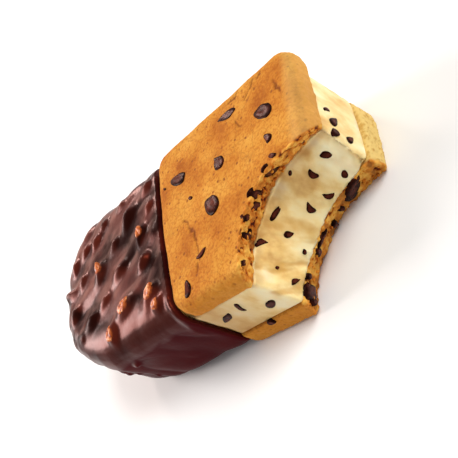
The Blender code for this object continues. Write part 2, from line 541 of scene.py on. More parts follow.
        # Painted shade: the crumb is painted dark brown where its surface lies low between clumps.
        deep = add_node(tree, "ShaderNodeAttribute", attribute_name="crumb")
        depth = add_node(
            tree,
            "ShaderNodeMath",
            {0: cells.outputs["Distance"], 1: -0.5, 2: deep.outputs["Fac"]},
            operation="MULTIPLY_ADD",
        )
        crumb = add_node(
            tree,
            "ShaderNodeValToRGB",
            {"Fac": depth.outputs["Value"]},
            stops=((0.0, "#54220C"), (0.15, "#984C16"), (0.40, "#D08428"), (0.80, "#E8B050")),
        )
        mottle = add_node(
            tree, "ShaderNodeTexNoise", {"Vector": place, "Scale": 1 / (3 * MM), "Detail": 4.0}
        )
        mottled = add_node(
            tree,
            "ShaderNodeValToRGB",
            {"Fac": mottle.outputs["Fac"]},
            stops=((0.34, "#8E4E24"), (0.46, "#E0A868"), (0.58, "#FFFFFF"), (0.75, "#FFF0C8")),
        )
        blend = add_node(
            tree,
            "ShaderNodeMix",
            {0: 0.75, 6: crumb.outputs["Color"], 7: mottled.outputs["Color"]},
            data_type="RGBA",
            blend_type="MULTIPLY",
        )
        return blend.outputs[2]

    def make(self) -> bpy.types.Material:
        """Return the finished material."""
        material, tree, shader, place = self.start()
        crust, height = self.crust(tree, place)
        bitten = add_node(tree, "ShaderNodeAttribute", attribute_name="bitten")
        colour = add_node(
            tree,
            "ShaderNodeMix",
            {0: bitten.outputs["Fac"], 6: crust, 7: self.open_crumb(tree, place)},
            data_type="RGBA",
        )
        tree.links.new(colour.outputs[2], shader.inputs["Base Color"])
        shader.inputs["Specular IOR Level"].default_value = 0.15
        bump = add_node(
            tree, "ShaderNodeBump", {"Height": height, "Strength": 0.6, "Distance": 0.25 * MM}
        )
        tree.links.new(bump.outputs["Normal"], shader.inputs["Normal"])
        return material


@dataclass(frozen=True)
class VanillaIceCream(Finish):
    """Vanilla ice cream: pale cream, a little clouded, softly lit through, with a frosty grain."""

    name: str = "vanilla_ice_cream_finish"
    roughness: float = 0.48
    ior: float = 1.35
    cloud: float = 6 * MM
    frost: float = 0.55 * MM

    def make(self) -> bpy.types.Material:
        """Return the finished material."""
        material, tree, shader, place = self.start()
        stretched = add_node(
            tree, "ShaderNodeMapping", {"Vector": place, "Scale": (1.0, 1.0, 0.6)}
        )
        clouds = add_node(
            tree,
            "ShaderNodeTexNoise",
            {"Vector": stretched.outputs["Vector"], "Scale": 1 / self.cloud, "Detail": 5.0},
        )
        cream = add_node(
            tree,
            "ShaderNodeValToRGB",
            {"Fac": clouds.outputs["Fac"]},
            stops=((0.30, "#CC9650"), (0.42, "#E8C278"), (0.54, "#F8DFA0"), (0.68, "#FCEEC2")),
        )
        # Painted shade: the troughs of the tooth streaks are painted darker tan.
        trough = add_node(tree, "ShaderNodeAttribute", attribute_name="trough")
        cream = add_node(
            tree,
            "ShaderNodeMix",
            {0: trough.outputs["Fac"], 6: cream.outputs["Color"], 7: linear("#CE9C48")},
            data_type="RGBA",
        )
        # Painted shade: brown under the upper cookie on the bitten face, and on the -Y side towards the coat.
        painted_shade = add_node(tree, "ShaderNodeAttribute", attribute_name="painted_shade")
        cream = add_node(
            tree,
            "ShaderNodeMix",
            {0: painted_shade.outputs["Fac"], 6: cream.outputs[2], 7: linear("#A8702E")},
            data_type="RGBA",
        )
        tree.links.new(cream.outputs[2], shader.inputs["Base Color"])
        shader.inputs["Subsurface Weight"].default_value = 0.25
        shader.inputs["Subsurface Radius"].default_value = (1.0, 0.72, 0.4)
        shader.inputs["Subsurface Scale"].default_value = 2.0 * MM
        frost = add_node(
            tree, "ShaderNodeTexNoise", {"Vector": place, "Scale": 1 / self.frost, "Detail": 4.0}
        )
        bump = add_node(
            tree,
            "ShaderNodeBump",
            {"Height": frost.outputs["Fac"], "Strength": 0.3, "Distance": 0.12 * MM},
        )
        tree.links.new(bump.outputs["Normal"], shader.inputs["Normal"])
        return material


@dataclass(frozen=True)
class ChocolateCoat(Finish):
    """Poured chocolate coating, set cold: dark brown, glossy, with painted shade in hollows, patches and
    walls.
    """

    name: str = "dark_chocolate_finish"
    roughness: float = 0.3
    ior: float = 1.47
    bloom: float = 7 * MM
    dull: float = 11 * MM

    def make(self) -> bpy.types.Material:
        """Return the finished material."""
        material, tree, shader, place = self.start()
        blooms = add_node(
            tree, "ShaderNodeTexNoise", {"Vector": place, "Scale": 1 / self.bloom, "Detail": 4.0}
        )
        # Painted shade: random patches are painted nearly black and lose most of their gloss, standing in for
        # shaded dark areas; the rim is kept clear of them.
        dulls = add_node(
            tree, "ShaderNodeTexNoise", {"Vector": place, "Scale": 1 / self.dull, "Detail": 2.0}
        )
        dulls = add_node(
            tree,
            "ShaderNodeMapRange",
            {"Value": dulls.outputs["Fac"], "From Min": 0.41, "From Max": 0.54, "To Min": 0.1},
        )
        rim = add_node(tree, "ShaderNodeAttribute", attribute_name="rim")
        dulls = add_node(
            tree,
            "ShaderNodeMath",
            {0: dulls.outputs["Result"], 1: rim.outputs["Fac"]},
            operation="MAXIMUM",
        )
        brown = add_node(
            tree,
            "ShaderNodeValToRGB",
            {"Fac": blooms.outputs["Fac"]},
            stops=((0.30, "#9A9A9A"), (0.50, "#D8D8D8"), (0.72, "#FFFFFF")),
        )
        # Painted shade: the low places between the lumps are painted near black, and the lump tops lighter red
        # brown.
        lump_height_shade = add_node(tree, "ShaderNodeAttribute", attribute_name="lump_height_shade")
        depth = add_node(
            tree,
            "ShaderNodeValToRGB",
            {"Fac": lump_height_shade.outputs["Fac"]},
            stops=((0.05, "#0E0403"), (0.26, "#40140E"), (0.5, "#511C13"), (0.9, "#5A2217")),
        )
        brown = add_node(
            tree,
            "ShaderNodeMix",
            {0: 0.8, 6: depth.outputs["Color"], 7: brown.outputs["Color"]},
            data_type="RGBA",
            blend_type="MULTIPLY",
        )
        brown = add_node(
            tree,
            "ShaderNodeMix",
            {0: dulls.outputs["Value"], 6: linear("#1C0806"), 7: brown.outputs[2]},
            data_type="RGBA",
        )
        # Painted shade: the upright walls, most of all those facing -Y, are painted a darker purple brown and
        # lose nearly all their reflection.
        wall = add_node(tree, "ShaderNodeAttribute", attribute_name="wall")
        shaded_side_gloss = add_node(
            tree,
            "ShaderNodeMapRange",
            {"Value": wall.outputs["Fac"], "To Min": 0.6, "To Max": 0.012},
        )
        shaded_side_gloss = add_node(
            tree,
            "ShaderNodeMath",
            {0: shaded_side_gloss.outputs["Result"], 1: dulls.outputs["Value"]},
            operation="MULTIPLY",
        )
        tree.links.new(shaded_side_gloss.outputs["Value"], shader.inputs["Specular IOR Level"])
        shaded_side_share = add_node(
            tree, "ShaderNodeMath", {0: wall.outputs["Fac"], 1: 0.75}, operation="MULTIPLY"
        )
        brown = add_node(
            tree,
            "ShaderNodeMix",
            {0: shaded_side_share.outputs["Value"], 6: brown.outputs[2], 7: linear("#4E1319")},
            data_type="RGBA",
        )
        bare = add_node(tree, "ShaderNodeAttribute", attribute_name="bare")
        film = add_node(
            tree, "ShaderNodeTexNoise", {"Vector": place, "Scale": 1 / (1.2 * MM), "Detail": 3.0}
        )
        shows = add_node(
            tree,
            "ShaderNodeMath",
            {0: bare.outputs["Fac"], 1: film.outputs["Fac"]},
            operation="MULTIPLY",
        )
        shows = add_node(
            tree,
            "ShaderNodeMapRange",
            {"Value": shows.outputs["Value"], "From Min": 0.15, "From Max": 0.55},
        )
        brown = add_node(
            tree,
            "ShaderNodeMix",
            {0: shows.outputs["Result"], 6: brown.outputs[2], 7: linear("#C2602E")},
            data_type="RGBA",
        )
        tree.links.new(brown.outputs[2], shader.inputs["Base Color"])
        shader.inputs["Specular Tint"].default_value = linear("#E6603E")
        shader.inputs["Subsurface Weight"].default_value = 0.04
        shader.inputs["Subsurface Radius"].default_value = (1.0, 0.35, 0.2)
        shader.inputs["Subsurface Scale"].default_value = 1.0 * MM
        ripple = add_node(
            tree, "ShaderNodeTexNoise", {"Vector": place, "Scale": 1 / (2.2 * MM), "Detail": 2.0}
        )
        bump = add_node(
            tree,
            "ShaderNodeBump",
            {"Height": ripple.outputs["Fac"], "Strength": 0.25, "Distance": 0.3 * MM},
        )
        tree.links.new(bump.outputs["Normal"], shader.inputs["Normal"])
        return material


@dataclass(frozen=True)
class ChipChocolate(Finish):
    """Broken dark chocolate: near black at its edges, dull red brown towards the middle of its upper face."""

    name: str = "chip_chocolate_finish"
    roughness: float = 0.26
    ior: float = 1.47
    bloom: float = 1.3 * MM

    def make(self) -> bpy.types.Material:
        """Return the finished material."""
        material, tree, shader, place = self.start()
        blooms = add_node(
            tree, "ShaderNodeTexNoise", {"Vector": place, "Scale": 1 / self.bloom, "Detail": 4.0}
        )
        brown = add_node(
            tree,
            "ShaderNodeValToRGB",
            {"Fac": blooms.outputs["Fac"]},
            stops=((0.34, "#120504"), (0.52, "#260D09"), (0.70, "#44190F")),
        )
        heart = add_node(tree, "ShaderNodeAttribute", attribute_name="heart")
        share = add_node(
            tree,
            "ShaderNodeMath",
            {0: heart.outputs["Fac"], 1: blooms.outputs["Fac"], 2: -0.12},
            operation="MULTIPLY_ADD",
        )
        brown = add_node(
            tree,
            "ShaderNodeMix",
            {0: share.outputs["Value"], 6: brown.outputs["Color"], 7: linear("#6E3224")},
            data_type="RGBA",
        )
        shader.inputs["Specular IOR Level"].default_value = 0.06
        shader.inputs["Specular Tint"].default_value = linear("#F0A890")
        tree.links.new(brown.outputs[2], shader.inputs["Base Color"])
        bump = add_node(
            tree,
            "ShaderNodeBump",
            {"Height": blooms.outputs["Fac"], "Strength": 0.4, "Distance": 0.2 * MM},
        )
        tree.links.new(bump.outputs["Normal"], shader.inputs["Normal"])
        return material


@dataclass(frozen=True)
class RoastedAlmond(Finish):
    """Chopped roasted almond under a film of chocolate: orange brown with a wet shine."""

    name: str = "roasted_almond_finish"
    roughness: float = 0.3
    ior: float = 1.47
    fibre: float = 1.1 * MM

    def make(self) -> bpy.types.Material:
        """Return the finished material."""
        material, tree, shader, place = self.start()
        fibres = add_node(
            tree, "ShaderNodeTexNoise", {"Vector": place, "Scale": 1 / self.fibre, "Detail": 4.0}
        )
        nut = add_node(
            tree,
            "ShaderNodeValToRGB",
            {"Fac": fibres.outputs["Fac"]},
            stops=((0.34, "#7C2E14"), (0.46, "#BC5A28"), (0.58, "#E0803E"), (0.72, "#F6BC8C")),
        )
        tree.links.new(nut.outputs["Color"], shader.inputs["Base Color"])
        bump = add_node(
            tree,
            "ShaderNodeBump",
            {"Height": fibres.outputs["Fac"], "Strength": 0.4, "Distance": 0.2 * MM},
        )
        tree.links.new(bump.outputs["Normal"], shader.inputs["Normal"])
        return material


@dataclass(frozen=True)
class StudioPaper(Finish):
    """White background paper under the bar: matt, with a barely visible tooth."""

    name: str = "studio_paper_finish"
    roughness: float = 0.9
    ior: float = 1.45

    def make(self) -> bpy.types.Material:
        """Return the finished material."""
        material, tree, shader, place = self.start()
        tooth = add_node(
            tree, "ShaderNodeTexNoise", {"Vector": place, "Scale": 1 / (40 * MM), "Detail": 2.0}
        )
        white = add_node(
            tree,
            "ShaderNodeValToRGB",
            {"Fac": tooth.outputs["Fac"]},
            stops=((0.0, "#F4F4F3"), (1.0, "#FAFAF9")),
        )
        tree.links.new(white.outputs["Color"], shader.inputs["Base Color"])
        shader.inputs["Specular IOR Level"].default_value = 0.1
        return material


# ---------------------------------------------------------------------------
# Small pieces
# ---------------------------------------------------------------------------


class Outline(Enum):
    """A small piece's outline, as the share by which it tapers, is notched and is bent."""

    OVAL = (0.12, 0.0, 0.0)
    DROP = (0.5, 0.0, 0.12)
    HEART = (0.05, 0.0, 1.1)
    COMMA = (0.1, 0.0, -0.9)
    SHARD = (0.3, 0.15, -0.15)


@dataclass(frozen=True)
class Spot:
    """Where a small piece sits: its place, the way it faces, its turn, its size and outline."""

    place: Vector
    facing: Vector
    turn: float
    size: tuple[float, float, float]
    outline: Outline = Outline.OVAL


@dataclass
class Scatter:
    """Small pieces of one kind, broken from balls by flat cuts and set into a surface."""

    name: str
    seed: int
    cuts: int = 9
    rounds: int = 2
    kinds: int = 3
    keep: tuple[float, float] = (0.72, 0.95)

    def break_one(self, outline: Outline, dice: random.Random) -> bpy.types.Object:
        """Break one piece: a ball cut flat all round, blunted, and drawn into its outline.

        Args:
            outline: Its outline.
            dice: The source of chance.

        Returns:
            The piece, from -1 to 1 each way.
        """
        bpy.ops.object.select_all(action="DESELECT")
        bpy.ops.mesh.primitive_ico_sphere_add(subdivisions=self.rounds, radius=1.0)
        item = bpy.context.active_object
        bpy.ops.object.mode_set(mode="EDIT")
        for _ in range(self.cuts):
            way = Vector([dice.gauss(0, 1) for _ in range(3)]).normalized()
            depth = dice.uniform(*self.keep)
            bpy.ops.mesh.select_all(action="SELECT")
            bpy.ops.mesh.bisect(
                plane_co=way * depth, plane_no=way, use_fill=True, clear_outer=True
            )
        bpy.ops.mesh.select_all(action="SELECT")
        bpy.ops.mesh.remove_doubles(threshold=0.06)
        bpy.ops.mesh.normals_make_consistent(inside=False)
        bpy.ops.object.mode_set(mode="OBJECT")
        softer = item.modifiers.new("Blunt", "SUBSURF")
        softer.levels = 1
        softer.render_levels = 1
        apply_modifiers(item)
        item.data.shade_smooth()
        self.draw_out(item, outline)
        return item

    def draw_out(self, item: bpy.types.Object, outline: Outline) -> None:
        """Draw a broken ball into its outline, with a dished top, and mark its heart."""
        taper, notch, bend = outline.value
        points = points_of(item)
        points /= np.abs(points).max(axis=0)
        x, y, z = points.T
        store(item, "heart", ramp(1 - np.hypot(x, y), 0.15, 0.6) * (z > 0))
        dent = notch * np.exp(-((y / 0.4) ** 2)) * np.clip(x, 0, 1)
        width = y * (1 - taper * x)
        flat = np.sign(z) * np.abs(z) ** 0.6 - 0.25 * np.exp(-(x * x + y * y) / 0.25) * (z > 0)
        drawn = np.column_stack([x - dent, width + bend * (x * x - 0.4), flat])
        low, high = drawn.min(axis=0), drawn.max(axis=0)
        set_shape = (drawn - (low + high) / 2) / ((high - low) / 2)
        item.data.vertices.foreach_set("co", set_shape.astype(np.float32).ravel())

    def set_pieces(self, spots: Sequence[Spot]) -> bpy.types.Object:
        """Set a piece at each spot and join them all.

        Args:
            spots: Where the pieces sit.

        Returns:
            All the pieces as one object.
        """
        dice = random.Random(self.seed)
        masters: dict[Outline, list[bpy.types.Object]] = {}
        for outline in {spot.outline: None for spot in spots}:
            masters[outline] = [self.break_one(outline, dice) for _ in range(self.kinds)]
        copies = []
        for spot in spots:
            select_only(dice.choice(masters[spot.outline]))
            bpy.ops.object.duplicate()
            item = bpy.context.active_object
            half = [side / 2 for side in spot.size]
            grow = Matrix.Diagonal((*half, 1.0))
            stand = frame_on(spot.facing, spot.turn)
            item.matrix_world = Matrix.Translation(spot.place) @ stand @ grow
            copies.append(item)
        select_only(*copies)
        bpy.ops.object.transform_apply(location=True, rotation=True, scale=True)
        whole = join(copies, self.name)
        for kind in masters.values():
            for master in kind:
                bpy.data.objects.remove(master)
        set_points(whole, points_of(whole))
        return whole


# ---------------------------------------------------------------------------
# The bar
# ---------------------------------------------------------------------------


@dataclass
class Layout:
    """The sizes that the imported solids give, in metres."""

    top_low: Vector = field(default_factory=lambda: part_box("cookie_top")[0])
    top_high: Vector = field(default_factory=lambda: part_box("cookie_top")[1])
    bottom_high: Vector = field(default_factory=lambda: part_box("cookie_bottom")[1])
    ice_low: Vector = field(default_factory=lambda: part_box("ice_cream")[0])
    coat_low: Vector = field(default_factory=lambda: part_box("chocolate_coat")[0])
    coat_high: Vector = field(default_factory=lambda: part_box("chocolate_coat")[1])

    def bite(self) -> Bite:
        """Return the bite, placed by the layers."""
        corner = (self.top_high.x, -self.top_high.y)
        heights = (0.0, self.bottom_high.z, self.top_low.z, self.top_high.z)
        return Bite(corner, heights)


@dataclass
class Cookie:
    """A baked cookie: gently uneven faces, a crumbled rim and a coarse bitten wall."""

    node: str
    name: str
    bite: Bite
    seed: float
    lit_end_paleness: float
    crumb_light: float
    cracks: tuple[tuple[tuple[float, float], ...], ...] = ()
    fineness: float = 0.33 * MM
    unevenness: float = 0.22 * MM
    rim_crumble: float = 0.3 * MM
    wall_depth: float = 0.45 * MM
    crack_depth: float = 0.3 * MM
    crack_width: float = 0.28 * MM

    def build(self) -> bpy.types.Object:
        """Return the cookie's body, with its rim, cracks, end and bitten wall marked."""
        item = copy_of_solid(self.node, self.name)
        remesh(item, self.fineness, smoothing=4)
        self.roughen(item)
        return item

    def cracking(self, points: np.ndarray) -> np.ndarray:
        """Return how nearly each point lies in a crack of the upper face, from 0 to 1."""
        wander = np.column_stack([rough(points, (2 * MM,) * 3, 2, seed) for seed in (3.0, 8.0)])
        flat = points[:, :2] + 0.7 * MM * wander
        nearest = np.full(len(points), 1.0)
        for crack in self.cracks:
            for start, end in zip(crack, crack[1:]):
                start, end = np.array(start) * MM, np.array(end) * MM
                way = end - start
                share = np.clip((flat - start) @ way / (way @ way), 0, 1)
                apart = np.hypot(*(flat - start - share[:, None] * way).T)
                nearest = np.minimum(nearest, apart)
        upper = points[:, 2] > self.bite.heights[-1] - 1.5 * MM
        return (1 - ramp(nearest, 0.3 * self.crack_width, 1.2 * self.crack_width)) * upper

    def roughen(self, item: bpy.types.Object) -> None:
        """Make the faces uneven, the rim crumbled and the bitten wall coarse."""
        points = points_of(item)
        clearance = self.bite.clearance(points)
        wall = 1 - ramp(clearance, 0.3 * MM, 1.2 * MM)
        steep = ramp(1 - np.abs(normals_of(item)[:, 2]), 0.1, 0.6)
        rim = steep * (1 - wall)
        face = 1 - np.maximum(wall, rim)
        broad = rough(points, (9 * MM,) * 3, 2, self.seed)
        middle = rough(points, (2.6 * MM,) * 3, 3, self.seed + 11)
        fine = rough(points, (0.9 * MM,) * 3, 3, self.seed + 23)
        crumb = clumps(points, 1.5 * MM, self.seed + 5) + 0.35 * fine
        crack = self.cracking(points) if self.cracks else np.zeros(len(points))
        heights = self.unevenness * broad * (face + 0.5 * rim)
        heights += self.rim_crumble * middle * rim + 0.05 * MM * fine * face
        heights += self.wall_depth * (crumb + 0.8 * middle - 0.4) * wall
        heights -= self.crack_depth * crack
        store(item, "bitten", wall)
        # The crumb mark follows the wall's clumps; the material paints its low places dark brown as painted
        # shade.
        store(item, "crumb", ramp(crumb + 0.5 * middle, -0.35, 0.4) + self.crumb_light)
        store(item, "rim", ramp(steep, 0.1, 0.9) * (1 - wall))
        # The crack mark is painted dark brown by the material as painted shade.
        store(item, "crack", crack)
        # Painted light: the end towards +X, where the key light falls, is painted paler, most on the lower
        # cookie; its grain is speckled there.
        end = ramp(points[:, 0], self.bite.corner[0] - 6 * MM, self.bite.corner[0] - 3 * MM)
        store(item, "pale", self.lit_end_paleness * end * (1 - wall))
        grains = rough(points, (0.8 * MM,) * 3, 2, self.seed + 31) + 0.6 * middle
        store(item, "speckled", ramp(grains, 0.05, 0.7) * self.lit_end_paleness * end * (1 - wall))
        heights += 0.12 * MM * grains * self.lit_end_paleness * end * rim
        raise_surface(item, heights)


@dataclass
class IceCream:
    """The ice cream: smooth sides, and a bitten face drawn into streaks by the teeth."""

    bite: Bite
    fineness: float = 0.45 * MM
    spread: float = 0.22 * MM
    streak: float = 3.4 * MM
    streak_depth: float = 0.5 * MM
    wave_depth: float = 0.35 * MM
    corner_wear: float = 0.7 * MM

    def build(self) -> bpy.types.Object:
        """Return the ice cream, spread to meet the cookies."""
        item = copy_of_solid("ice_cream", "ice_cream_block")
        remesh(item, self.fineness, smoothing=2)
        points = points_of(item)
        side = ramp(1 - np.abs(normals_of(item)[:, 2]), 0.3, 0.8)
        bitten = (1 - ramp(self.bite.clearance(points), 0.6 * MM, 1.8 * MM)) * side
        bearing = self.bite.bearing(points)
        around = np.radians(bearing) * 25 * MM
        lean = 0.35 * points[:, 2]
        along = np.column_stack([around + lean, np.zeros(len(points)), points[:, 2]])
        streaks = rough(along, (self.streak, 1.0, 14 * MM), 3, 3.0)
        strong = 0.25 + 0.75 * (1 - ramp(bearing, 20, 50))
        waves = rough(points, (5 * MM,) * 3, 3, 7.0)
        # Painted shade: the material paints these streak troughs darker tan.
        store(item, "trough", ramp(-streaks, 0.05, 0.5) * strong * bitten * 0.7)
        store(item, "painted_shade", self.painted_shading(points, bitten, waves))
        heights = self.spread * (1 - side)
        heights += bitten * (self.streak_depth * strong * streaks + self.wave_depth * waves)
        heights += (side - bitten) * 0.15 * MM * waves
        corner = ramp(bearing, 80, 88) * (1 - ramp(self.bite.clearance(points), 0.0, 2 * MM))
        heights -= self.corner_wear * corner * (0.6 + clumps(points, 2.6 * MM, 17.0))
        raise_surface(item, heights)
        return item


    def painted_shading(self, points: np.ndarray, bitten: np.ndarray, waves: np.ndarray) -> np.ndarray:
        """Return the painted shade at each point, from 0 to 1: under the upper cookie on the bitten face, and
        on the -Y half towards the coat.
        """
        below_top = self.bite.heights[2] - points[:, 2]
        under_cookie = (1 - ramp(below_top + 2.5 * MM * waves, 0.5 * MM, 4 * MM)) * bitten
        beside_coat = (1.15 - ramp(points[:, 0], 8 * MM, 30 * MM)) * (points[:, 1] < 0)
        return 0.5 * np.maximum(0.8 * under_cookie, beside_coat * (1 - bitten))


@dataclass(frozen=True)
class Nut:
    """An almond piece under the coat: its place, its lie, and how it lifts the chocolate."""

    place: Vector
    facing: Vector
    turn: float
    grow: float
    bare: bool

    def lift(self, points: np.ndarray, size: Sequence[float]) -> tuple[np.ndarray, np.ndarray]:
        """Return how far it lifts each point, and how nearly it shows through there.

        Args:
            points: The coat's points.
            size: Half the lump's length and width, and its height.

        Returns:
            The height at each point in metres, and a share from 0 to 1.
        """
        axes = np.array(frame_on(self.facing, self.turn).to_3x3())
        apart = (points - np.array(self.place)) @ axes
        length, width, height = (side * self.grow for side in size)
        tail = np.where(apart[:, 0] > 0, 1.5 * length, 0.85 * length)
        reach = (apart[:, 0] / tail) ** 2 + (apart[:, 1] / width) ** 2
        near = np.abs(apart[:, 2]) < 5 * MM
        cap = (apart[:, 0] / (0.6 * length)) ** 2 + (apart[:, 1] / (0.7 * width)) ** 2
        return height * np.exp(-(reach**1.3)) * near, np.exp(-(cap**1.5)) * near * self.bare


@dataclass
class Coat:
    """The chocolate coat: poured over almond pieces, so it is lumpy, and rippled as it ran."""

    low: Vector
    high: Vector
    fineness: float = 0.45 * MM
    flow: float = 38.0
    ripple: float = 7.5 * MM
    ripple_depth: float = 0.62 * MM
    lump: tuple[float, float, float] = (2.7 * MM, 1.9 * MM, 1.6 * MM)
    shoulder: float = 12 * MM
    shoulder_drop: float = 2.4 * MM
    seed: int = 21
    nuts: list[Nut] = field(default_factory=list)

    def bare_places(self) -> list[tuple[float, float, float, float]]:
        """Return where almond shows in the upper face: x and y in mm, the turn, the size."""
        return [
            (-28.8, 2.4, 75, 1.1),
            (-7.5, 4.0, 72, 1.0),
            (-1.2, -16.8, 36, 1.1),
            (0.5, -20.5, 30, 0.8),
            (-13.1, -15.7, 30, 1.15),
            (-20.5, -20.8, 60, 1.0),
        ]

    def covered_places(self) -> list[tuple[float, float, float, float]]:
        """Return where hidden almond lifts the upper face: x and y in mm, the turn, the size."""
        return [
            (-17.0, -3.0, 38, 1.1),
            (-33.3, 15.0, 60, 0.9),
            (-30.5, -12.5, 40, 1.1),
            (-46.0, 12.0, 80, 0.8),
            (-14.5, 14.0, 55, 1.2),
            (-29.5, 19.0, 35, 0.7),
            (-5.5, 19.0, 30, 0.8),
            (-21.5, 8.0, 50, 0.8),
            (-39.0, 4.0, 60, 0.9),
            (-42.0, -6.0, 70, 1.0),
            (-24.5, -9.0, 40, 0.8),
            (-5.5, -5.0, 50, 0.9),
            (-36.0, -16.0, 60, 0.7),
            (-48.0, 2.0, 80, 0.9),
            (-4.0, 11.5, 50, 0.7),
            (-19.0, 20.5, 30, 0.7),
            (-40.0, 15.0, 50, 0.7),
        ]

    def place_nuts(self, item: bpy.types.Object) -> None:
        """Seat the almond pieces on the coat's upper face and all round its sides."""
        dice = random.Random(self.seed)
        for places, bare in ((self.bare_places(), True), (self.covered_places(), False)):
            for x, y, turn, grow in places:
                place, facing = seat(item, Vector((x * MM, y * MM, self.high.z + 2 * MM)))
                self.nuts.append(Nut(place, facing, turn, grow, bare))
        middle = Vector(((self.low.x - 5 * MM) / 2, 0, 0))
        for i in range(34):
            angle = math.radians(75 + 210 * (i + dice.uniform(-0.4, 0.4)) / 34)
            way = Vector((math.cos(angle), math.sin(angle), 0))
            guess = middle + way * 38 * MM
            guess.z = dice.uniform(0.15, 0.7) * self.high.z
            place, facing = seat(item, guess)
            turn = 90 + dice.uniform(-30, 30)
            self.nuts.append(Nut(place, facing, turn, dice.uniform(0.3, 0.6), False))

    def build(self) -> bpy.types.Object:
        """Return the coat, lumpy and rippled, with its lumps and its bare almond marked."""
        item = copy_of_solid("chocolate_coat", "chocolate_glaze")
        remesh(item, self.fineness, smoothing=4)
        self.place_nuts(item)
        points = points_of(item)
        lumps = np.zeros(len(points))
        bare = np.zeros(len(points))
        for nut in self.nuts:
            height, share = nut.lift(points, self.lump)
            lumps = np.maximum(lumps, height) + 0.3 * np.minimum(lumps, height)
            bare = np.maximum(bare, share)
        outside = self.outside(points, normals_of(item))
        ripples = self.ripples(points) * ramp(lumps, 1.2 * MM, 0.2 * MM)
        inward = np.clip((points[:, 1] - self.low.y) / self.shoulder, 0, 1)
        shoulder = (1 - inward) ** 2
        shoulder *= ramp(points[:, 2], self.high.z - 12 * MM, self.high.z - 2 * MM)
        ripples *= 1 - 0.8 * ramp(1 - inward, 0.0, 0.4) * ramp(points[:, 2], self.high.z - 8 * MM, self.high.z)
        heights = (lumps + ripples) * outside
        # Painted shade: the coat's material paints the low places of this height near black.
        store(item, "lump_height_shade", ramp(heights, -0.7 * MM, 1.3 * MM))
        # This rim mark keeps the painted shade of the random dark patches off the coat's rim.
        store(item, "rim", ramp(1 - inward, 0.0, 0.4))
        store(item, "bare", bare * outside)
        raise_surface(item, heights)
        points = points_of(item)
        points[:, 2] -= self.shoulder_drop * shoulder * outside
        set_points(item, points)
        softer = item.modifiers.new("Soften", "SMOOTH")
        softer.iterations = 3
        apply_modifiers(item)
        # Painted shade: the wall mark below tells the material to darken and dull the upright walls, most of
        # all those facing -Y.
        normals = normals_of(item)
        upright = 1 - ramp(normals[:, 2], 0.05, 0.7)
        store(item, "wall", upright * (0.3 + 0.7 * ramp(-normals[:, 1], 0.0, 0.5)))
        return item

    def ripples(self, points: np.ndarray) -> np.ndarray:
        """Return the height of the ripples at each point, drawn out along the flow."""
        turn = math.radians(self.flow)
        along = points[:, 0] * math.cos(turn) + points[:, 1] * math.sin(turn)
        across = points[:, 1] * math.cos(turn) - points[:, 0] * math.sin(turn)
        ways = np.column_stack([along, across, points[:, 2]])
        waves = rough(ways, (1.7 * self.ripple, self.ripple, 2 * self.ripple), 1, 5.0)
        folds = 2 * np.abs(rough(ways, (1.5 * self.ripple, 0.8 * self.ripple, 1.6 * self.ripple), 1, 9.0))
        return self.ripple_depth * (1.1 * waves + 0.7 * (folds - 0.4))

    def outside(self, points: np.ndarray, normals: np.ndarray) -> np.ndarray:
        """Return 1 on the coat's outer surface, fading to 0 at its joint and within."""
        middle = np.array([-15 * MM, 0, self.high.z / 2])
        outer = ramp(np.sum((points - middle) * normals, axis=1), -0.5 * MM, 0.5 * MM)
        joint = 2.4 * MM - 0.19 * points[:, 1] - 1.2 * MM
        return outer * ramp(joint - points[:, 0], 0.2 * MM, 2.5 * MM)

    def cap_spots(self, item: bpy.types.Object) -> list[Spot]:
        """Return the spots of the almond pieces that break through the finished coat."""
        spots = []
        for nut in self.nuts:
            if nut.bare:
                lean = (nut.facing + Vector((0.1, -0.35, 0.05))).normalized()
                place, _ = seat(item, nut.place + nut.facing * 1.5 * MM)
                size = (4.3 * MM * nut.grow, 2.3 * MM * nut.grow, 2.1 * MM)
                spots.append(Spot(place - lean * 0.85 * MM, lean, nut.turn, size, Outline.DROP))
        return spots


# ---------------------------------------------------------------------------
# Studio
# ---------------------------------------------------------------------------


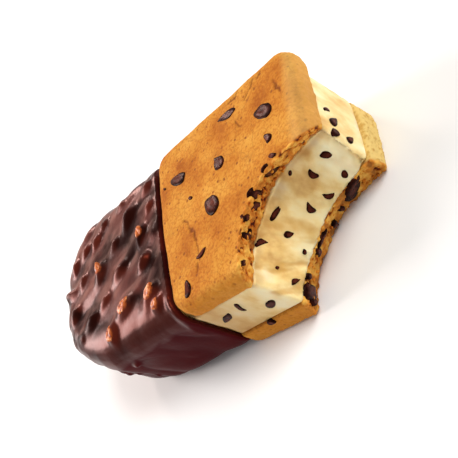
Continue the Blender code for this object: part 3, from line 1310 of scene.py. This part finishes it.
@dataclass(frozen=True)
class Studio:
    """The camera, the paper floor and the lights."""

    eye: tuple[float, float, float] = (116.7 * MM, -90.1 * MM, 101.8 * MM)
    look: tuple[float, float, float] = (-0.6361, 0.5522, -0.5389)
    roll: float = 67.2
    lens: float = 49.65
    sky: float = 0.34

    def add_camera(self) -> None:
        """Add the camera, rolled so that the bar stands slanting in its view."""
        look = Vector(self.look).normalized()
        facing = look.to_track_quat("-Z", "Y")
        roll = Quaternion(look, math.radians(self.roll))
        bpy.ops.object.select_all(action="DESELECT")
        bpy.ops.object.camera_add(location=self.eye)
        camera = bpy.context.active_object
        camera.rotation_mode = "QUATERNION"
        camera.rotation_quaternion = roll @ facing
        camera.data.lens = self.lens
        camera.data.sensor_width = 36
        camera.data.clip_start = 0.005
        camera.data.dof.use_dof = False
        bpy.context.scene.camera = camera

    def add_floor(self) -> None:
        """Add the paper floor."""
        bpy.ops.object.select_all(action="DESELECT")
        bpy.ops.mesh.primitive_plane_add(size=8, location=(0, 0, -0.02 * MM))
        floor = bpy.context.active_object
        floor.name = "paper_floor"
        floor.data.materials.append(StudioPaper().make())

    def add_light(
        self, name: str, place: Sequence[float], size: float, power: float, colour: str
    ) -> None:
        """Add one soft light that faces the bar.

        Args:
            name: Its name.
            place: Its place, in metres.
            size: The side of its square, in metres.
            power: Its power, in watts.
            colour: Its colour, as sRGB hex.
        """
        bpy.ops.object.select_all(action="DESELECT")
        bpy.ops.object.light_add(type="AREA", location=place)
        light = bpy.context.active_object
        light.name = name
        light.data.size = size
        light.data.energy = power
        light.data.color = linear(colour)[:3]
        light.rotation_mode = "QUATERNION"
        light.rotation_quaternion = (-Vector(place)).to_track_quat("-Z", "Y")

    def build(self) -> None:
        """Add everything round the bar."""
        self.add_camera()
        self.add_floor()
        world = bpy.data.worlds.new("pale_studio")
        world.use_nodes = True
        sky = world.node_tree.nodes["Background"]
        sky.inputs["Color"].default_value = linear("#FFFFFF")
        sky.inputs["Strength"].default_value = self.sky
        bpy.context.scene.world = world
        bpy.context.scene.view_settings.view_transform = "Standard"
        self.add_light("key", (1.1, 0.45, 1.25), 0.9, 23.0, "#FFFFFF")
        self.add_light("left_fill", (-1.24, 0.06, 0.9), 0.8, 20.0, "#FFF4F0")
        self.add_light("back_rim", (-1.2, 0.85, 0.42), 0.6, 1.8, "#FFBCA4")
        self.add_light("top_glint", (-0.7, 0.9, 0.75), 0.22, 4.0, "#FFEAE0")


# ---------------------------------------------------------------------------
# Everything together
# ---------------------------------------------------------------------------


def dress(item: bpy.types.Object, finish: Finish, slot: str, *nodes: str) -> None:
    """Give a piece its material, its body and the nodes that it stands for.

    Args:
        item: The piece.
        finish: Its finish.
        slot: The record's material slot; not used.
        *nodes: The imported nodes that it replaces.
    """
    material = bpy.data.materials.get(finish.name) or finish.make()
    item.data.materials.clear()
    item.data.materials.append(material)
    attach(item, BODY)
    if nodes:
        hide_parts(*nodes)
    log.info("%s: %d faces", item.name, len(item.data.polygons))


@dataclass
class Chips:
    """The chocolate chips, where each shows in the cookies and in the ice cream."""

    layout: Layout
    bite: Bite

    def in_face(self, cookie: bpy.types.Object) -> list[Spot]:
        """Return the chips in the upper cookie's face: x, y, turn, length and width."""
        shown = [
            (29.6, 19.3, -9, 7.6, 3.0, Outline.DROP),
            (42.2, 11.1, -34, 7.2, 4.3, Outline.OVAL),
            (43.1, 2.5, -61, 3.7, 2.5, Outline.DROP),
            (25.9, 7.0, -53, 5.6, 4.1, Outline.DROP),
            (8.8, 12.3, -22, 7.2, 3.8, Outline.SHARD),
            (14.5, 3.0, -42, 2.2, 1.3, Outline.SHARD),
            (23.0, -3.9, -55, 7.0, 4.9, Outline.OVAL),
            (3.4, 12.4, -38, 1.6, 0.8, Outline.OVAL),
            (19.0, -15.5, 22, 4.0, 1.7, Outline.COMMA),
            (13.4, -21.7, -82, 5.0, 2.9, Outline.DROP),
            (44.3, -3.7, -35, 3.0, 1.5, Outline.SHARD),
        ]
        spots = []
        for x, y, turn, long, wide, outline in shown:
            place, _ = seat(cookie, Vector((x * MM, y * MM, self.layout.top_high.z + 1 * MM)))
            size = (long * MM, wide * MM, 1.5 * MM)
            place.z -= 0.45 * MM
            spots.append(Spot(place, Vector((0, 0, 1)), turn, size, outline))
        return spots

    def in_wall(
        self, body: bpy.types.Object, shown: Sequence[tuple], thick: float, sink: float
    ) -> list[Spot]:
        """Place chips in a bitten wall.

        Args:
            body: The bitten body.
            shown: The bearing, height, turn, length, width and outline of each chip.
            thick: How thick the chips are, in metres.
            sink: How deep their middles are sunk, in metres.

        Returns:
            The chips' spots.
        """
        spots = []
        for bearing, height, turn, long, wide, outline in shown:
            facing = self.bite.facing(bearing, height * MM)
            place, _ = seat(body, self.bite.place(bearing, height * MM))
            size = (long * MM, wide * MM, thick)
            spots.append(Spot(place - facing * sink, facing, turn, size, outline))
        return spots

    def in_top(self, cookie: bpy.types.Object) -> list[Spot]:
        """Return the chips in the upper cookie's bitten wall."""
        shown = (
            (59, 25.3, 89, 5.6, 3.8, Outline.SHARD),
            (46, 26.2, -73, 4.4, 2.8, Outline.OVAL),
            (40, 25.0, -61, 4.2, 2.8, Outline.DROP),
            (33, 26.6, -49, 2.4, 1.6, Outline.OVAL),
            (25, 24.9, -54, 4.0, 2.2, Outline.HEART),
            (9, 25.8, -52, 2.4, 1.5, Outline.OVAL),
            (80, 24.0, 73, 3.0, 1.2, Outline.SHARD),
        )
        return self.in_wall(cookie, shown, 1.8 * MM, 0.55 * MM)

    def in_bottom(self, cookie: bpy.types.Object) -> list[Spot]:
        """Return the chips in the lower cookie's bitten wall, and one at its joint."""
        shown = (
            (71, 4.4, 41, 8.4, 4.8, Outline.SHARD),
            (58, 2.6, -84, 3.4, 1.6, Outline.SHARD),
            (49, 1.8, -78, 3.2, 2.2, Outline.DROP),
            (39, 6.0, -5, 5.4, 1.7, Outline.COMMA),
            (31, 5.6, 79, 3.6, 2.1, Outline.DROP),
            (16, 6.3, -76, 2.1, 1.6, Outline.OVAL),
            (9, 4.2, -80, 6.4, 4.6, Outline.SHARD),
            (4, 3.2, -66, 2.8, 1.8, Outline.HEART),
        )
        spots = self.in_wall(cookie, shown, 2.2 * MM, 0.3 * MM)
        place, _ = seat(cookie, Vector((18.3 * MM, -27 * MM, 6.7 * MM)))
        out = Vector((0, -1, 0.4)).normalized()
        spots.append(Spot(place, out, -20, (2.4 * MM, 1.7 * MM, 1.4 * MM), Outline.SHARD))
        return spots

    def in_ice(self, ice: bpy.types.Object) -> list[Spot]:
        """Return the chips that show in the ice cream's bite, end and side."""
        bitten = (
            (79, 16.0, -60, 3.4, 2.0, Outline.OVAL),
            (62, 20.0, 38, 1.5, 0.9, Outline.OVAL),
            (67, 15.5, 86, 3.8, 1.7, Outline.COMMA),
            (76, 9.4, 62, 2.6, 1.6, Outline.OVAL),
            (62, 9.1, -46, 3.6, 2.0, Outline.HEART),
            (51, 11.6, 75, 3.5, 1.8, Outline.COMMA),
            (41, 18.9, -17, 4.0, 1.5, Outline.SHARD),
            (34, 14.0, -70, 2.8, 1.7, Outline.DROP),
            (25, 20.2, -55, 4.1, 1.8, Outline.COMMA),
            (28, 9.2, 31, 1.4, 1.1, Outline.OVAL),
            (15, 14.9, -57, 1.2, 0.9, Outline.OVAL),
            (11, 9.8, -56, 3.5, 1.4, Outline.DROP),
        )
        spots = self.in_wall(ice, bitten, 1.3 * MM, 0.35 * MM)
        flat = (
            (60, 9.4, 18.3, -64, 3.0, 1.4, Outline.COMMA),
            (60, 5.6, 16.7, -46, 4.2, 2.3, Outline.DROP),
            (60, 0.8, 17.3, -70, 3.0, 2.1, Outline.SHARD),
            (60, 2.6, 12.0, -55, 3.4, 1.9, Outline.DROP),
            (19.5, -30, 17.3, 72, 4.8, 1.5, Outline.COMMA),
            (13.0, -30, 15.7, 37, 5.6, 2.4, Outline.OVAL),
            (24.3, -30, 12.7, 40, 4.6, 2.4, Outline.OVAL),
        )
        for x, y, height, turn, long, wide, outline in flat:
            facing = Vector((1, 0.05, 0)) if y > -30 else Vector((0, -1, 0))
            place, _ = seat(ice, Vector((x, y, height)) * MM)
            size = (long * MM, wide * MM, 1.3 * MM)
            spots.append(Spot(place - facing * 0.35 * MM, facing.normalized(), turn, size, outline))
        return spots + self.on_hidden_sides(ice)

    def on_hidden_sides(self, ice: bpy.types.Object) -> list[Spot]:
        """Return more chips like these along the ice cream's back."""
        dice = random.Random(12)
        spots = []
        for i in range(7):
            x = (8 + 6 * i + dice.uniform(-2, 2)) * MM
            place, _ = seat(ice, Vector((x, 30 * MM, dice.uniform(10, 19) * MM)))
            back = Vector((0, 1, 0))
            size = (dice.uniform(2.2, 4.2) * MM, dice.uniform(1.4, 2.4) * MM, 1.3 * MM)
            outline = dice.choice(list(Outline))
            spots.append(Spot(place - back * 0.35 * MM, back, dice.uniform(0, 180), size, outline))
        return spots


def crumb_spots(layout: Layout, seed: int, count: int) -> list[Spot]:
    """Return loose crumbs that cling to both bitten walls."""
    bite = layout.bite()
    dice = random.Random(seed)
    spots = []
    for _ in range(count):
        low, high = dice.choice(((0.8, layout.bottom_high.z / MM - 0.6), (22.2, 27.0)))
        bearing = dice.uniform(1, 89)
        height = dice.uniform(low, high) * MM
        size = dice.uniform(0.4, 1.0) * MM
        normal = bite.facing(bearing, height)
        place = bite.place(bearing, height) + normal * dice.uniform(0.0, 0.4) * MM
        shape = (size, size * dice.uniform(0.6, 1.0), size * dice.uniform(0.5, 0.9))
        spots.append(Spot(place, normal, dice.uniform(0, 360), shape))
    return spots


def main() -> None:
    """Build the bar and the studio round it."""
    logging.basicConfig(level=logging.INFO, format="%(message)s")
    layout = Layout()
    bite = layout.bite()
    chips = Chips(layout, bite)
    cracks = (
        ((11.5, -2.0), (13.3, -4.4), (16.0, -8.0), (17.3, -12.1), (17.6, -15.0)),
        ((17.2, -17.0), (17.6, -19.5)),
        ((30.5, 22.5), (33.3, 22.7), (34.5, 24.6)),
        ((36.0, 19.0), (38.8, 21.2)),
        ((38.8, 21.2), (39.6, 23.6)),
        ((46.0, 17.5), (47.0, 15.4), (48.4, 12.0)),
        ((41.5, 23.0), (42.7, 24.1)),
        ((33.0, 14.5), (34.6, 12.0)),
    )
    top = Cookie("cookie_top", "top_cookie_crust", bite, 2.0, 0.25, 0.0, cracks).build()
    bottom = Cookie("cookie_bottom", "bottom_cookie_crust", bite, 31.0, 0.9, 0.3).build()
    ice = IceCream(bite).build()
    coat = Coat(layout.coat_low, layout.coat_high)
    glaze = coat.build()
    cookie = BakedCookie()
    dress(top, cookie, "baked_cookie", "cookie_top")
    dress(bottom, cookie, "baked_cookie", "cookie_bottom")
    dress(ice, VanillaIceCream(), "vanilla_ice_cream", "ice_cream")
    dress(glaze, ChocolateCoat(), "dark_chocolate", "chocolate_coat")
    nuts = Scatter("almond_pieces", 5).set_pieces(coat.cap_spots(glaze))
    dress(nuts, RoastedAlmond(), "dark_chocolate")
    for name, spots, seed in (
        ("top_cookie_chips", chips.in_face(top) + chips.in_top(top), 3),
        ("bottom_cookie_chips", chips.in_bottom(bottom), 4),
        ("ice_cream_chips", chips.in_ice(ice), 6),
    ):
        dress(Scatter(name, seed).set_pieces(spots), ChipChocolate(), "dark_chocolate")
    crumbs = Scatter("cookie_crumbs", 8, cuts=5, rounds=1, kinds=6).set_pieces(crumb_spots(layout, 9, 100))
    store(crumbs, "bitten", np.ones(len(crumbs.data.vertices)))
    store(crumbs, "crumb", np.full(len(crumbs.data.vertices), 0.7))
    dress(crumbs, cookie, "baked_cookie")
    Studio().build()


if __name__ == "__main__":
    main()
